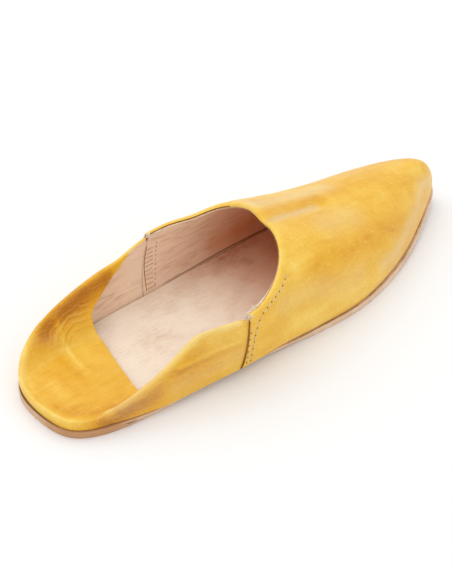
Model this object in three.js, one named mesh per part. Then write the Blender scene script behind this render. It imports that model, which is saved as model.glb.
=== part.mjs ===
// A flat leather babouche slipper for the right foot: outsole, insole and one hollow upper.
// Millimetres. +X runs from heel to toe, +Y to the inner side of the foot, +Z up.
// The sections are set out with the heel at x = 0, then the group is moved so that the origin
// lies under the middle of the slipper, on the floor.

import * as THREE from 'three';
import { mergeVertices } from 'three/addons/utils/BufferGeometryUtils.js';

// Driving dimensions
const LENGTH = 260;
const BALL_WIDTH = 75;
const INSTEP_HEIGHT = 44;
const COLLAR_HEIGHT = 33;
const OUTSOLE_THICKNESS = 3.6;
const INSOLE_THICKNESS = 1.5;
const WALL_THICKNESS = 1.8;
const FLAP_THICKNESS = 1.5;
const CLEARANCE = 0.35;
const INSOLE_INSET = 0.55;

// How far the leather swells where it rolls over the rim, as a share of the rim's width.
const RIM_SWELL = 0.53;

// Vamp: the front half laps over the quarter at the side seams, which lean a little forward, and its
// rim stands a little higher than the quarter's. From the seams the rim sweeps up to the throat.
const SEAM_FOOT_X = 83;
const SEAM_TOP_X = 86.5;
const SEAM_WIDTH = 0.3;
const VAMP_STEP = 0.8;
const VAMP_RIM_STEP = 1.5;
const THROAT_X = 131;
const THROAT_FOOT_X = 160;
const SWEEP_POWER = { left: 1.75, right: 2.3 };
// On the outer side the last of the sweep is left off, so that its rim meets the throat at a slant.
const SWEEP_SHARE = { left: 1, right: 0.75 };

// A soft trough runs along the instep from the throat.
const TROUGH_WIDTH = 6;

// Mesh density: points up a wall, round the rim and along the fold, and lines along each stretch.
const WALL_STEPS = 10;
const RIM_STEPS = 5;
const DISH_STEPS = 5;
const FLAT_STEPS = 4;
const QUARTER_LINES = 26;
const THROAT_LINES = 13;
const VAMP_LINES = 15;
const SOLE_LINES = 44;
const SOLE_STEPS = 6;
const WELD_DISTANCE = 1e-3;

// Steps for measuring slopes along and up the walls, and for finding a place by halving.
const STATION_NUDGE = 0.02;
const RISE_NUDGE = 0.01;
const HALVINGS = 40;

// Share of the rise over which the walls turn upright at the sole, and over which the vamp's step fades.
const UPRIGHT_RISE = 0.12;
const STEP_RISE = 0.05;

// Sections from heel to toe. x and spineX are percent of LENGTH, spineY percent of BALL_WIDTH, and
// crown, the height of the top line above the feather edge, percent of INSTEP_HEIGHT; over the open
// back the spine and crown are only what the walls aim at. The rest are millimetres. lift: underside
// above the floor. lip: outsole past the upper. skive: how far the outsole's edge is cut under.
// trough, troughY: depth and place of the instep trough.
const SECTIONS = table(
  ['x', 'spineX', 'spineY', 'crown', 'lift', 'lip', 'skive', 'trough', 'troughY'],
  [
    [0.1, 25, -5, 60, 0, 1.0, 0.3, 0, 0],
    [0.9, 25, -5, 60, 0, 1.0, 0.3, 0, 0],
    [3.5, 25, -5, 60, 0, 1.0, 0.3, 0, 0],
    [8.5, 26, -5, 65, 0, 1.0, 0.3, 0, 0],
    [16.2, 27, -5, 85, 0, 0.0, 2.0, 0, 0],
    [24.6, 29, -5, 110, 0.5, -0.3, 2.8, 0, 0],
    [33, 34, -4, 130, 0.8, -0.3, 2.8, 0, 0],
    [42.3, 44, 2, 108, 0.5, 0.3, 1.8, 2, 0],
    [52, 52, 6, 91, 0, 1.0, 0.4, 3, -1],
    [61.5, 60, 5, 80, 0, 1.2, 0.3, 2.5, -3],
    [71, 69, 6, 72, 0, 1.2, 0.3, 1, -3],
    [80, 77.5, 8, 65, 0.6, 1.2, 0.3, 0, 0],
    [87.7, 85, 9, 56, 1.8, 1.2, 0.3, 0, 0],
    [93.8, 90.3, 10, 48, 3.2, 1.2, 0.3, 0, 0],
    [97.7, 92.4, 10, 43.6, 4.4, 1.2, 0.3, 0, 0],
    [99.2, 93, 10, 42, 4.8, 1.2, 0.3, 0, 0],
  ],
);

// The walls, a row for each section. edge: the upper's foot, percent of BALL_WIDTH from the middle
// line. belly, knee: how far out and how high the wall swells over the sole; flare: how far it leans
// out higher up, millimetres. The inner side of the foot is on the left.
const LEFT_WALL = table(
  ['edge', 'belly', 'knee', 'flare'],
  [
    [-5.5, 1, 6, 2],
    [13.0, 1, 6, 2],
    [25.5, 1, 6, 10],
    [33.0, 2, 6, 18],
    [36.5, 3, 6, 17],
    [38.3, 3, 7, 13],
    [39.3, 4, 8, 10],
    [41.7, 4, 8, 4],
    [44.0, 4, 8, 5],
    [45.3, 3, 8, 0],
    [45.3, 3, 8, -6],
    [44.0, 3, 7, -8],
    [39.3, 3, 7, -7],
    [31.3, 3, 6, -5],
    [20.7, 2.5, 5, -3],
    [9.0, 2.5, 5, -2],
  ],
);
const RIGHT_WALL = table(
  ['edge', 'belly', 'knee', 'flare'],
  [
    [5.5, 1, 6, 2],
    [25.0, 1, 6, 1],
    [35.0, 1, 6, 0],
    [41.0, 1.5, 6, -2],
    [47.0, 1, 6, -5],
    [49.5, 1, 7, -1],
    [51.5, 2.5, 8, 6],
    [50.7, 3, 8, 3],
    [51.3, 3, 8, 0],
    [50.7, 3, 8, -5],
    [43.3, 3, 8, -7],
    [31.7, 3, 7, -8],
    [18.5, 3, 7, -7],
    [6.5, 3, 6, -5],
    [-2.0, 2.5, 5, -3],
    [-9.0, 2.5, 5, -2],
  ],
);

// Height of the collar rim above the feather edge, percent of COLLAR_HEIGHT, at places along the foot
// in percent of LENGTH. The trodden heel is low, and the inner side stays higher than the outer one.
// Its corners are softened over a length in the same percent.
const RIM_SOFTENING = 1;
const RIM = table(
  ['x', 'left', 'right'],
  [
    [0, 11, 11],
    [1.6, 11, 11],
    [4.6, 25, 11],
    [7, 37, 14],
    [9.6, 49, 21],
    [12.3, 58, 30],
    [15, 63, 38],
    [19, 68, 56],
    [23.5, 75, 77],
    [27.5, 76, 78],
    [31, 90, 78],
    [34, 94, 78],
    [37, 96, 78],
    [40, 90, 78],
    [43, 77, 78],
  ],
);

// The back of the quarter is folded in and lies on the insole. Its free edge crosses the insole on a
// slanting line, goes straight up at a last x, then runs along both walls as a hem that narrows to the
// rim. Where it leaves the rim it dishes down to the insole.
const FLAP_EDGE_X = 44;
const FLAP_EDGE_SLANT = 0.25;
const FLAP_LAST_X = 47.6;
const FLAP_HEM = 5;
const FLAP_WALL_FROM = { left: 45, right: 36 };
const FLAP_WALL_TO = { left: 84, right: 60 };
const FLAP_FULL_RUN = 2.5;
const FLAP_LEAST_HEM = 0.3;
const FLAP_CORNER = 1;
const FLAP_LEAST_SLANT = 0.1;
const DISH_RUN = 8;
const DISH_PER_HEIGHT = 0.45;
const DISH_POWER = 2.2;

function table(columns, rows) {
  return rows.map((row) => Object.fromEntries(columns.map((name, i) => [name, row[i]])));
}

// Smooth value of a column at a station, counted in rows. The curve is carried on past both ends by
// the values given for the rows before the first and after the last.
function along(values, before, after, station) {
  const list = [before, ...values, after];
  const last = values.length - 2;
  const i = Math.min(Math.max(Math.floor(station), 0), last);
  const f = station - i;
  const [a, b, c, d] = list.slice(i, i + 4);
  const slopeB = (c - a) / 2;
  const slopeC = (d - b) / 2;
  const f2 = f * f;
  const f3 = f2 * f;
  return b * (2 * f3 - 3 * f2 + 1) + slopeB * (f3 - 2 * f2 + f)
    + c * (3 * f2 - 2 * f3) + slopeC * (f3 - f2);
}

const LAST_STATION = SECTIONS.length - 1;

function section(name, station) {
  const values = SECTIONS.map((row) => row[name]);
  return along(values, values[1], values[LAST_STATION - 1], station);
}

// Wall columns run round the heel and the toe into the other side's; an edge then changes its sign.
function wall(name, side, station) {
  const own = (side > 0 ? LEFT_WALL : RIGHT_WALL).map((row) => row[name]);
  const other = (side > 0 ? RIGHT_WALL : LEFT_WALL).map((row) => row[name]);
  const turn = name === 'edge' ? -1 : 1;
  return along(own, turn * other[1], turn * other[LAST_STATION - 1], station);
}

// Height of the rim at x above the feather edge.
function rimHeight(name, x) {
  const place = x * 100 / LENGTH;
  const straight = (p) => {
    const next = RIM.findIndex((row) => row.x > p);
    if (next === 0) return RIM[0][name];
    if (next < 0) return RIM[RIM.length - 1][name];
    const a = RIM[next - 1];
    const b = RIM[next];
    return a[name] + (b[name] - a[name]) * (p - a.x) / (b.x - a.x);
  };
  const around = straight(place - RIM_SOFTENING) + straight(place + RIM_SOFTENING);
  return (2 * straight(place) + around) / 4 * COLLAR_HEIGHT / 100;
}

const smooth = (a, b, v) => THREE.MathUtils.smoothstep(v, a, b);
const stationX = (station) => section('x', station) * LENGTH / 100;
const sideName = (side) => (side > 0 ? 'left' : 'right');

// Underside above the floor: flat under the heel and the ball.
const lift = (station) => Math.max(section('lift', station), 0);

// Station at which the feather edge reaches x.
function stationAt(x) {
  let low = 0;
  let high = LAST_STATION;
  for (let i = 0; i < HALVINGS; i += 1) {
    const middle = (low + high) / 2;
    if (stationX(middle) < x) low = middle;
    else high = middle;
  }
  return (low + high) / 2;
}

// Foot of the upper on the outsole, outer face.
function featherEdge(station, side) {
  const z = lift(station) + OUTSOLE_THICKNESS + CLEARANCE;
  const width = wall('edge', side, station) * BALL_WIDTH / 100;
  return new THREE.Vector3(stationX(station), side * width, z);
}

// Outer face of the upper without the vamp's step. rise goes from 0 at the feather edge to 1 at the
// top line; past the heel, the toe or the top line it carries on down the other side.
function lastSurface(station, side, rise) {
  if (station < 0) return lastSurface(-station, -side, rise);
  if (station > LAST_STATION) return lastSurface(2 * LAST_STATION - station, -side, rise);
  if (rise > 1) return lastSurface(station, -side, 2 - rise);
  const foot = featherEdge(station, side);
  const spineX = section('spineX', station) * LENGTH / 100;
  const spineY = section('spineY', station) * BALL_WIDTH / 100;
  const inward = new THREE.Vector3(spineX - foot.x, spineY - foot.y, 0);
  const reach = inward.length();
  inward.normalize();
  const crown = section('crown', station) * INSTEP_HEIGHT / 100;
  const profile = new THREE.CubicBezierCurve(
    new THREE.Vector2(0, 0),
    new THREE.Vector2(-wall('belly', side, station), wall('knee', side, station)),
    new THREE.Vector2(-wall('flare', side, station), crown),
    new THREE.Vector2(reach, crown),
  );
  const p = profile.getPoint(rise);
  const point = foot.clone().addScaledVector(inward, p.x);
  const troughY = section('troughY', station);
  const across = (point.y - troughY) / TROUGH_WIDTH;
  point.z += p.y - section('trough', station) * Math.exp(-across * across) * rise;
  return point;
}

function outwardNormal(station, side, rise) {
  const atToeCrown = rise > 1 - RISE_NUDGE && station > LAST_STATION - STATION_NUDGE;
  if (atToeCrown) return outwardNormal(station, side, 1 - 2 * RISE_NUDGE);
  const ahead = lastSurface(station + STATION_NUDGE, side, rise);
  const alongFoot = ahead.sub(lastSurface(station - STATION_NUDGE, side, rise));
  const above = lastSurface(station, side, rise + RISE_NUDGE);
  const up = above.sub(lastSurface(station, side, Math.max(rise - RISE_NUDGE, 0)));
  return up.cross(alongFoot).multiplyScalar(side).normalize();
}

// Outward direction that lies level at the feather edge, so that the walls stand upright on the sole.
function wallNormal(station, side, rise) {
  const normal = outwardNormal(station, side, rise);
  normal.z *= smooth(0, UPRIGHT_RISE, rise);
  return normal.normalize();
}

// Inner face: one wall thickness inside the outer one.
function innerFace(station, side, rise) {
  const normal = wallNormal(station, side, rise);
  return lastSurface(station, side, rise).addScaledVector(normal, -WALL_THICKNESS);
}

// Outer face; the vamp stands proud of the quarter.
function outerFace(station, side, rise, isVamp) {
  const step = isVamp ? VAMP_STEP * smooth(0, STEP_RISE, rise) : 0;
  return lastSurface(station, side, rise).addScaledVector(wallNormal(station, side, rise), step);
}

const SEAM_STATION = stationAt(SEAM_TOP_X);
const THROAT_STATION = stationAt(THROAT_X);

// Rise at which the outer face reaches a height above the feather edge.
function riseAtHeight(station, side, height) {
  const base = featherEdge(station, side).z;
  let low = 0;
  let high = 1;
  for (let i = 0; i < HALVINGS; i += 1) {
    const middle = (low + high) / 2;
    if (lastSurface(station, side, middle).z - base < height) low = middle;
    else high = middle;
  }
  return low;
}

// Rim of the collar: a height in the quarter, then a round sweep up to the throat.
function rimRise(station, side, isVamp) {
  const step = isVamp ? VAMP_RIM_STEP : 0;
  const level = riseAtHeight(station, side, rimHeight(sideName(side), stationX(station)) + step);
  const past = (station - SEAM_STATION) / (THROAT_STATION - SEAM_STATION);
  const share = SWEEP_SHARE[sideName(side)];
  const power = SWEEP_POWER[sideName(side)];
  const curve = (t) => 1 - (1 - t ** power) ** (1 / power);
  const climb = curve(THREE.MathUtils.clamp(past, 0, 1) * share) / curve(share);
  return level + (1 - level) * climb;
}

// How far the fold reaches in from its start: to the line across the insole and up the wall, or the
// hem's depth, with a soft corner between the two.
function flapRun(station, side, start, inward) {
  const name = sideName(side);
  const lineGap = FLAP_EDGE_X + FLAP_EDGE_SLANT * start.y - start.x;
  const slant = Math.max(inward.x - FLAP_EDGE_SLANT * inward.y, FLAP_LEAST_SLANT);
  const toLastX = (FLAP_LAST_X - start.x) / Math.max(inward.x, FLAP_LEAST_SLANT);
  const toLine = Math.min(lineGap / slant, toLastX);
  const hemLength = FLAP_WALL_TO[name] - FLAP_WALL_FROM[name];
  const hemLeft = THREE.MathUtils.clamp((FLAP_WALL_TO[name] - stationX(station)) / hemLength, 0, 1);
  const hem = FLAP_HEM * hemLeft ** 2;
  if (hem < FLAP_LEAST_HEM) return 0;
  return (toLine + hem + Math.hypot(toLine - hem, FLAP_CORNER * hemLeft)) / 2;
}

// Points of the fold that starts at the rim, top face and underside, from the rim to its free edge, with
// its heading at the start and how much of its full thickness it has there.
function flapPoints(station, side, rim, normal) {
  const spine = new THREE.Vector3(
    section('spineX', station) * LENGTH / 100,
    section('spineY', station) * BALL_WIDTH / 100,
    0,
  );
  const inward = spine.sub(rim).setZ(0).normalize();
  const behindWall = CLEARANCE + FLAP_THICKNESS;
  const fullStart = rim.clone().addScaledVector(normal, -WALL_THICKNESS - behindWall);
  const run = flapRun(station, side, fullStart, inward);
  const fade = smooth(0, FLAP_FULL_RUN, run);
  const thickness = FLAP_THICKNESS * fade;
  const start = rim.clone().addScaledVector(normal, -WALL_THICKNESS - behindWall * fade);
  const floor = lift(station) + OUTSOLE_THICKNESS + INSOLE_THICKNESS
    + 2 * CLEARANCE + FLAP_THICKNESS;
  const drop = Math.max(start.z - floor, 0);
  const dish = DISH_RUN + DISH_PER_HEIGHT * drop;
  const sloping = Math.min(run, dish);
  const distances = [0, ...spread(0, sloping, DISH_STEPS), ...spread(sloping, run, FLAT_STEPS)];
  const top = [];
  const under = [];
  const slopeAt = (left) => -drop * DISH_POWER * left ** (DISH_POWER - 1) / dish;
  for (const d of distances) {
    const left = Math.max(1 - d / dish, 0);
    const slope = slopeAt(left);
    const scale = thickness / Math.hypot(1, slope);
    const p = start.clone().addScaledVector(inward, d);
    p.z += drop * (left ** DISH_POWER - 1);
    top.push(p);
    const q = p.clone().addScaledVector(inward, slope * scale);
    q.z -= scale;
    under.push(q);
  }
  const heading = inward.clone().setZ(slopeAt(1)).normalize();
  return { top, under, heading, fade };
}

// Closed loop of points around one side's wall: up the outer face, over the rim, along the fold and
// back under it, and down the inner face. A line runs from its foot station to its top station.
function wallLoop(line, side, rimUp) {
  const topRise = rimUp ? rimRise(line.top, side, line.isVamp) : 1;
  const outer = [];
  const inner = [];
  for (let j = 0; j <= WALL_STEPS; j += 1) {
    const f = j / WALL_STEPS;
    const station = line.foot + (line.top - line.foot) * f;
    outer.push(outerFace(station, side, topRise * f, line.isVamp));
    inner.push(innerFace(station, side, topRise * f));
  }
  if (!rimUp) return { outer, rim: [], inner };
  const crest = outer[WALL_STEPS];
  const normal = outwardNormal(line.top, side, topRise);
  const fold = flapPoints(line.top, side, lastSurface(line.top, side, topRise), normal);
  const [start] = fold.top;
  const swell = crest.distanceTo(start) * RIM_SWELL;
  const back = rimUp.clone().lerp(fold.heading.negate(), fold.fade).normalize();
  const over = new THREE.CubicBezierCurve3(
    crest,
    crest.clone().addScaledVector(rimUp, swell),
    start.clone().addScaledVector(back, swell),
    start,
  );
  const rim = over.getPoints(RIM_STEPS).slice(1, -1);
  rim.push(...fold.top, ...fold.under.reverse());
  return { outer, rim, inner };
}

// Collects faces between neighbouring rows of points and makes one closed mesh of them.
class Skin {
  constructor() {
    this.corners = [];
  }

  strip(rowA, rowB, flip) {
    for (let i = 0; i + 1 < rowA.length; i += 1) {
      this.quad(rowA[i], rowB[i], rowB[i + 1], rowA[i + 1], flip);
    }
  }

  // Two triangles, split on the shorter diagonal.
  quad(a, b, c, d, flip) {
    const [p, q, r, s] = a.distanceTo(c) <= b.distanceTo(d) ? [a, b, c, d] : [b, c, d, a];
    const order = flip ? [p, r, q, p, s, r] : [p, q, r, p, r, s];
    this.corners.push(...order);
  }

  geometry() {
    const raw = new THREE.BufferGeometry().setFromPoints(this.corners);
    const merged = mergeVertices(raw, WELD_DISTANCE);
    const index = merged.getIndex().array;
    const kept = [];
    for (let i = 0; i < index.length; i += 3) {
      const [a, b, c] = index.slice(i, i + 3);
      if (a !== b && b !== c && c !== a) kept.push(a, b, c);
    }
    merged.setIndex(kept);
    merged.computeVertexNormals();
    return merged;
  }
}

function spread(from, to, steps, ease = (t) => t) {
  return Array.from({ length: steps }, (_, i) => from + (to - from) * ease((i + 1) / steps));
}

// Lines up the walls of the upper: straight up in the quarter, fanned out round the throat so that
// they meet its rim squarely, and raked back over the closed vamp.
function upperLines() {
  const half = SEAM_WIDTH / 2;
  const line = (footX, topX, isVamp) => ({ foot: stationAt(footX), top: stationAt(topX), isVamp });
  const behind = line(SEAM_FOOT_X - half, SEAM_TOP_X - half, false);
  const ahead = line(SEAM_FOOT_X + half, SEAM_TOP_X + half, true);
  const throat = line(THROAT_FOOT_X, THROAT_X, true);
  const toe = { foot: LAST_STATION, top: LAST_STATION, isVamp: true };
  const between = (a, b, steps, easeTop = (t) => t) => {
    const feet = spread(a.foot, b.foot, steps);
    const tops = spread(a.top, b.top, steps, easeTop);
    return feet.map((foot, i) => ({ foot, top: tops[i], isVamp: b.isVamp }));
  };
  const heel = { foot: 0, top: 0, isVamp: false };
  const quarter = [heel, ...between(heel, behind, QUARTER_LINES)];
  const sweep = [ahead, ...between(ahead, throat, THROAT_LINES, (t) => Math.sin(t * Math.PI / 2))];
  return { open: [...quarter, ...sweep], closed: [throat, ...between(throat, toe, VAMP_LINES)] };
}

// Direction out of the leather at each rim point, square to the rim and lying in the outer face.
function rimDirections(lines, side) {
  const last = lines.length - 1;
  const crest = (i) => {
    const line = lines[i < 0 ? -i : Math.min(i, 2 * last - i)];
    const turned = i < 0 || i > last ? -side : side;
    return lastSurface(line.top, turned, rimRise(line.top, turned, line.isVamp));
  };
  return lines.map((line, i) => {
    const tangent = crest(i + 1).sub(crest(i - 1));
    const normal = outwardNormal(line.top, side, rimRise(line.top, side, line.isVamp));
    return tangent.cross(normal).multiplyScalar(side).normalize();
  });
}

function upperGeometry() {
  const skin = new Skin();
  const { open, closed } = upperLines();
  for (const side of [1, -1]) {
    const flip = side > 0;
    const rimUps = rimDirections(open, side);
    const openLoops = open.map((line, i) => wallLoop(line, side, rimUps[i]));
    const closedLoops = closed.map((line) => wallLoop(line, side, null));
    const ring = ({ outer, rim, inner }) => [...outer, ...rim, ...inner.slice().reverse(), outer[0]];
    const inside = ({ outer, inner }) => [...inner.slice().reverse(), outer[0]];
    for (let i = 0; i + 1 < openLoops.length; i += 1) {
      skin.strip(ring(openLoops[i]), ring(openLoops[i + 1]), flip);
    }
    for (let i = 0; i + 1 < closedLoops.length; i += 1) {
      skin.strip(closedLoops[i].outer, closedLoops[i + 1].outer, flip);
      skin.strip(inside(closedLoops[i]), inside(closedLoops[i + 1]), flip);
    }
  }
  return skin.geometry();
}

// A layer of the sole, given by its edge point at each station and side, its bottom and top heights,
// and how far its lower edge is cut under.
function layerGeometry(edgePoint, bottom, top, skive) {
  const skin = new Skin();
  const stations = [0, ...spread(0, LAST_STATION, SOLE_LINES)];
  const rows = stations.map((station) => {
    const [left, right] = [1, -1].map((side) => edgePoint(station, side, 0));
    const [lowLeft, lowRight] = [1, -1].map((side) => edgePoint(station, side, skive(station)));
    const across = Array.from({ length: SOLE_STEPS + 1 }, (_, i) => i / SOLE_STEPS);
    const high = across.map((t) => left.clone().lerp(right, t).setZ(top(station)));
    const low = across.map((t) => lowRight.clone().lerp(lowLeft, t).setZ(bottom(station)));
    return [...high, ...low, high[0]];
  });
  for (let i = 0; i + 1 < rows.length; i += 1) skin.strip(rows[i], rows[i + 1], true);
  return skin.geometry();
}

// Outline moved out from the feather edge, square to it.
function offsetEdge(station, side, distance) {
  const point = featherEdge(station, side);
  const ahead = lastSurface(station + STATION_NUDGE, side, 0);
  const alongFoot = ahead.sub(lastSurface(station - STATION_NUDGE, side, 0));
  const outward = new THREE.Vector3(-alongFoot.y, alongFoot.x, 0).multiplyScalar(side).normalize();
  return point.addScaledVector(outward, distance);
}

function outsoleGeometry() {
  const edge = (station, side, inset) => offsetEdge(station, side, section('lip', station) - inset);
  const top = (station) => lift(station) + OUTSOLE_THICKNESS;
  return layerGeometry(edge, lift, top, (station) => section('skive', station));
}

function insoleGeometry() {
  const inside = WALL_THICKNESS + INSOLE_INSET;
  const edge = (station, side, inset) => offsetEdge(station, side, -inside - inset);
  const bottom = (station) => lift(station) + OUTSOLE_THICKNESS + CLEARANCE;
  const top = (station) => bottom(station) + INSOLE_THICKNESS;
  return layerGeometry(edge, bottom, top, () => 0);
}

function piece(name, geometry, color, roughness) {
  const material = new THREE.MeshStandardMaterial({ color, roughness, metalness: 0 });
  const mesh = new THREE.Mesh(geometry, material);
  mesh.name = name;
  return mesh;
}

const slipper = new THREE.Group();
slipper.add(piece('outsole', outsoleGeometry(), 0xd7aa8c, 0.7));
slipper.add(piece('insole', insoleGeometry(), 0xebd4b9, 0.8));
slipper.add(piece('upper', upperGeometry(), 0xe9b53f, 0.45));

const box = new THREE.Box3().setFromObject(slipper);
const middle = box.getCenter(new THREE.Vector3());
slipper.position.set(-middle.x, -middle.y, -box.min.z);
slipper.updateMatrixWorld(true);

export default slipper;
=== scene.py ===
"""A yellow leather babouche slipper for the right foot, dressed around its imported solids.

The frame is the solids' own: metres, +X from heel to toe, +Y to the inner side of the foot, +Z up.
Places and sizes below are in millimetres unless a comment says otherwise.
"""

import math
import random

import bpy
import numpy as np
from mathutils import Euler, Matrix, Vector


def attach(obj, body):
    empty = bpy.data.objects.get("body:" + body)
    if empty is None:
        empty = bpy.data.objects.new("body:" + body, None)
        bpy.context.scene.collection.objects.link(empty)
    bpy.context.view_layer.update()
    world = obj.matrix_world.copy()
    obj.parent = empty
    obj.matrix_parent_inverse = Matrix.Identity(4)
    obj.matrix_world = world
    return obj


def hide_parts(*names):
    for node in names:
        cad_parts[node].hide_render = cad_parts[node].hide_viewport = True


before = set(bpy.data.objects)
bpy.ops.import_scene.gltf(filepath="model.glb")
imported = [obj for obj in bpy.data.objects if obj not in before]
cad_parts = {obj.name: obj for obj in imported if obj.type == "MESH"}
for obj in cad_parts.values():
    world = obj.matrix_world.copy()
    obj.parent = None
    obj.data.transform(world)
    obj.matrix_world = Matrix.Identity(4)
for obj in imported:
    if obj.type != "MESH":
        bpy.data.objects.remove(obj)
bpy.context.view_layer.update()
MM = 0.001

# The camera looks down over the heel from behind the outer side, rolled a little. Angles in degrees.
CAMERA_PLACE = (-350.3, -340.72, 370.7)
CAMERA_TURN = 43.9
CAMERA_DOWN = 37.0
CAMERA_ROLL = 3.0
CAMERA_LENS = 80.0
CAMERA_SENSOR = 36.0
CAMERA_NEAREST = 10.0

# Light: a white room and one soft lamp high on the far side, over a wide floor.
ROOM_STRENGTH = 0.95
LAMP_PLACE = (-100, 550, 1300)
LAMP_SIZE = 1800
LAMP_WATTS = 6.5
FLOOR_SIZE = 6000

# Leather shaping. The weld is in metres.
WELD = 1e-6
QUAD_FLATNESS = math.radians(60)
QUAD_SQUARENESS = math.radians(80)
CUT_EDGE_ANGLE = math.radians(55)
CUT_EDGE_CREASE = 0.9
SMOOTH_ANGLE = math.radians(40)
ROUNDING_LEVELS = 2

# Material slots of the upper
YELLOW, LINING, CUT_EDGE = 0, 1, 2

# The side seams lean forward from the foot to the rim: x and z of their ends.
SEAM_FOOT = (-46.3, 4.5)
SEAM_TOP = (-42.8, 34.0)

NOISE_MIDDLE = 0.5


class Value:
    """A socket of a material. Arithmetic on it adds Math nodes."""

    def __init__(self, recipe, socket):
        self.recipe = recipe
        self.socket = socket

    def math(self, operation, first, second):
        return self.recipe.add("ShaderNodeMath", {"operation": operation}, {0: first, 1: second})

    def __add__(self, other):
        return self.math("ADD", self, other)

    __radd__ = __add__

    def __sub__(self, other):
        return self.math("SUBTRACT", self, other)

    def __rsub__(self, other):
        return self.math("SUBTRACT", other, self)

    def __mul__(self, other):
        return self.math("MULTIPLY", self, other)

    __rmul__ = __mul__

    def swing(self, amount):
        """A noise's sway about its middle, this many times as large."""
        return (self - NOISE_MIDDLE) * amount


class Recipe:
    """A material under construction. add() makes any node; the other methods are short ways to it."""

    def __init__(self, name):
        self.material = bpy.data.materials.new(name)
        self.material.use_nodes = True
        self.tree = self.material.node_tree
        self.shader = self.tree.nodes["Principled BSDF"]
        self.place = self.add("ShaderNodeTexCoord", output="Object")

    def add(self, kind, settings=None, sockets=None, output=0):
        node = self.tree.nodes.new(kind)
        for name, value in (settings or {}).items():
            if name == "stops":
                self.set_stops(node.color_ramp.elements, value)
            else:
                setattr(node, name, value)
        for name, value in (sockets or {}).items():
            self.feed(node.inputs[name], value)
        return Value(self, node.outputs[output])

    def set_stops(self, elements, stops):
        while len(elements) < len(stops):
            elements.new(1.0)
        for element, (position, color) in zip(elements, stops):
            element.position = position
            element.color = (*color, 1)

    def feed(self, socket, value):
        if isinstance(value, Value):
            self.tree.links.new(value.socket, socket)
        elif socket.type == "RGBA":
            socket.default_value = (*value, 1)
        else:
            socket.default_value = value

    def painted(self, name):
        return self.add("ShaderNodeAttribute", {"attribute_name": name}, output="Fac")

    def noise(self, size, detail=3.0, stretch=(1, 1, 1), turn=(0, 0, 0), bend=0.0):
        """Cloudy noise in blots about size across, turned, then drawn out along the axes by stretch."""
        scale = [1 / (size * MM * s) for s in stretch]
        sockets = {"Vector": self.place, "Scale": scale, "Rotation": [math.radians(a) for a in turn]}
        place = self.add("ShaderNodeMapping", None, sockets)
        sockets = {"Vector": place, "Scale": 1.0, "Detail": detail, "Distortion": bend}
        return self.add("ShaderNodeTexNoise", None, sockets)

    def cell_walls(self, size):
        """Distance from the walls between cells that are about size across."""
        sockets = {"Vector": self.place, "Scale": 1 / (size * MM)}
        return self.add("ShaderNodeTexVoronoi", {"feature": "DISTANCE_TO_EDGE"}, sockets)

    def span(self, value, low, high):
        """0 up to low, 1 from high on, smooth between."""
        sockets = {"Value": value, "From Min": low, "From Max": high}
        return self.add("ShaderNodeMapRange", {"interpolation_type": "SMOOTHSTEP"}, sockets)

    def ramp(self, value, stops):
        return self.add("ShaderNodeValToRGB", {"stops": stops}, {0: value})

    def mix(self, share, first, second):
        return self.add("ShaderNodeMix", {"data_type": "RGBA"}, {0: share, 6: first, 7: second}, 2)

    def distance(self, centre):
        """Distance from a point, in millimetres."""
        sockets = {0: self.place, 1: [c * MM for c in centre]}
        metres = self.add("ShaderNodeVectorMath", {"operation": "DISTANCE"}, sockets, "Value")
        return metres * (1 / MM)

    def finish(self, color, roughness, height, coat=None, coat_roughness=0.3, specular=0.5):
        """Feeds the shader. height is in millimetres."""
        self.feed(self.shader.inputs["Specular IOR Level"], specular)
        self.feed(self.shader.inputs["Base Color"], color)
        self.feed(self.shader.inputs["Roughness"], roughness)
        bump = self.add("ShaderNodeBump", None, {"Distance": MM, "Height": height}, "Normal")
        self.feed(self.shader.inputs["Normal"], bump)
        if coat is not None:
            self.feed(self.shader.inputs["Coat Weight"], coat)
            self.feed(self.shader.inputs["Coat Roughness"], coat_roughness)
        return self.material


# Wrinkles in the fold run in arcs over this point at the foot of its inner wall.
WRINKLE_CENTRE = (-88.0, 21.0, 4.0)
WRINKLE_PITCH = 2.9
# The dye's depth at the dark end of its colour ramp
DEEPEST_DYE = 1.6

# Colours that wear and dirt put over the leathers, and colours of painted sheen, highlights and shade
PAINTED_SHEEN_COLOR = (0.72, 0.595, 0.40)
BRUSHED_DYE = (0.92, 0.66, 0.17)
GRIME_AND_SHADE_BROWN = (0.30, 0.12, 0.015)
WRINKLE_CREST_HIGHLIGHT = (0.90, 0.60, 0.13)
LINING_WEAR_AND_SHADE_RED = (0.76, 0.29, 0.125)
LINING_GRIME_AND_SHADE = (0.16, 0.06, 0.03)
INSOLE_WEAR_AND_SHADE_RED = (0.82, 0.285, 0.10)
STAINED_INSOLE = (0.50, 0.20, 0.085)
INSOLE_FRECKLE = (0.55, 0.31, 0.17)
DARK_TAN = (0.44, 0.18, 0.04)


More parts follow.
